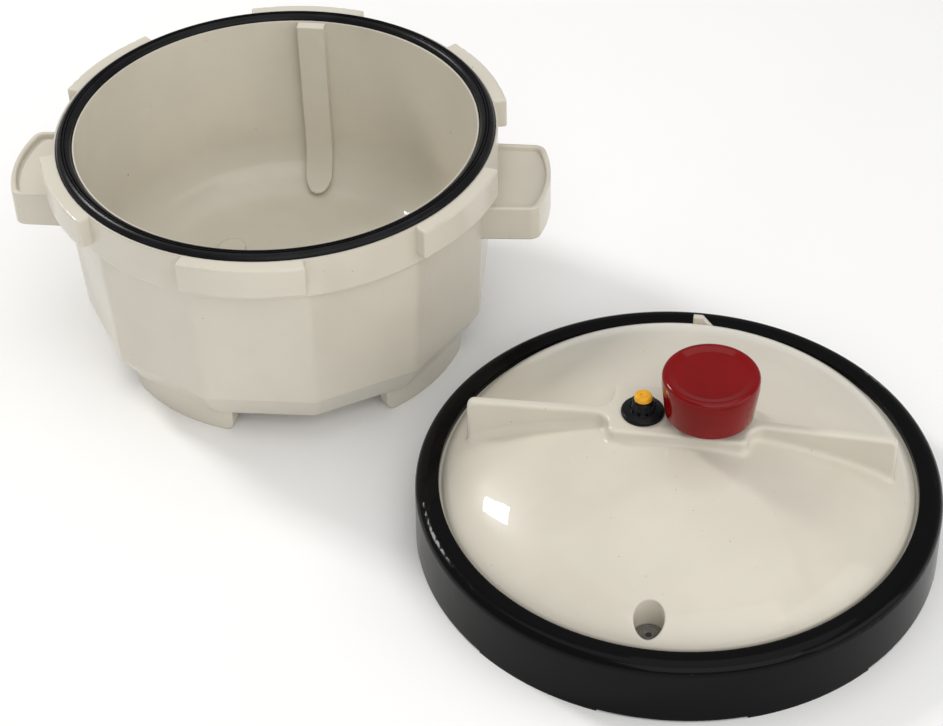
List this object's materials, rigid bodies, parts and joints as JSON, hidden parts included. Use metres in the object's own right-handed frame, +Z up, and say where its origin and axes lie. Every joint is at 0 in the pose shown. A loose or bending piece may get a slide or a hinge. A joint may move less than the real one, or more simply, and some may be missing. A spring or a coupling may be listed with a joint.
{
  "type": "pressure cooker",
  "caption": "Moulded plastic pressure cooker: open pot with rim gasket, lugs, tray-topped handles and feet beside its domed twist-lock lid with a lift-off red regulator.",
  "frame": {"origin": "centre of the bounding box footprint, on the surface both the pot and the lid stand on", "axes": "+Z up; X along the line through the pot handles; the pot stands towards -X +Y and the lid lies towards +X -Y, turned 5 degrees clockwise from the handles"},
  "size_m": [0.444, 0.3679, 0.1195],
  "materials": {
    "ivory_plastic": "glossy moulded, fine dark specks",
    "black_plastic": "glossy moulded",
    "gasket_rubber": "smooth, slight sheen",
    "stem_plastic": "satin",
    "grommet_rubber": "satin",
    "white_ceramic": "smooth fired",
    "red_plastic": "high gloss",
    "yellow_plastic": "semi-gloss",
    "plug_rubber": "matte"
  },
  "bodies": {
    "pot": {"pot_body": "ivory_plastic"},
    "seal": {"gasket": "gasket_rubber"},
    "carrier": {"relief_ball": "white_ceramic"},
    "lid": {"cover": "ivory_plastic", "lock_ring": "black_plastic", "vent_stem": "stem_plastic", "vent_nut": "stem_plastic", "vent_screen": "stem_plastic", "vent_washer": "grommet_rubber", "indicator_grommet": "grommet_rubber", "safety_plug": "plug_rubber", "safety_plug_core": "stem_plastic"},
    "regulator": {"regulator_cap": "red_plastic", "regulator_weight": "white_ceramic", "regulator_socket": "red_plastic", "regulator_base": "red_plastic"},
    "indicator": {"indicator_pin": "yellow_plastic", "indicator_clip": "stem_plastic"}
  },
  "joints": [
    {"name": "lid_twist", "type": "hinge", "parent": "pot", "child": "seal", "pos_m": [-0.09, 0.07175, 0.117], "axis": [0, 0, 1], "range_deg": [-30, 0]},
    {"name": "lid_carry", "type": "hinge", "parent": "seal", "child": "carrier", "pos_m": [0.03563, -0.00944, 0.1773], "axis": [-0.5777, -0.8163, 0], "range_deg": [0, 223.7]},
    {"name": "lid_level", "type": "hinge", "parent": "carrier", "child": "lid", "pos_m": [0.11745, -0.06734, 0.0815], "axis": [-0.5777, -0.8163, 0], "range_deg": [-223.9, 0.2]},
    {"name": "regulator_lift", "type": "slide", "parent": "lid", "child": "regulator", "axis": [0, 0, 1], "range_m": [0, 0.03]},
    {"name": "indicator_rise", "type": "slide", "parent": "lid", "child": "indicator", "axis": [0, 0, 1], "range_m": [0, 0.005]}
  ],
  "couplings": [
    {"joint": "lid_level", "follows": "lid_carry", "ratio": -1}
  ]
}
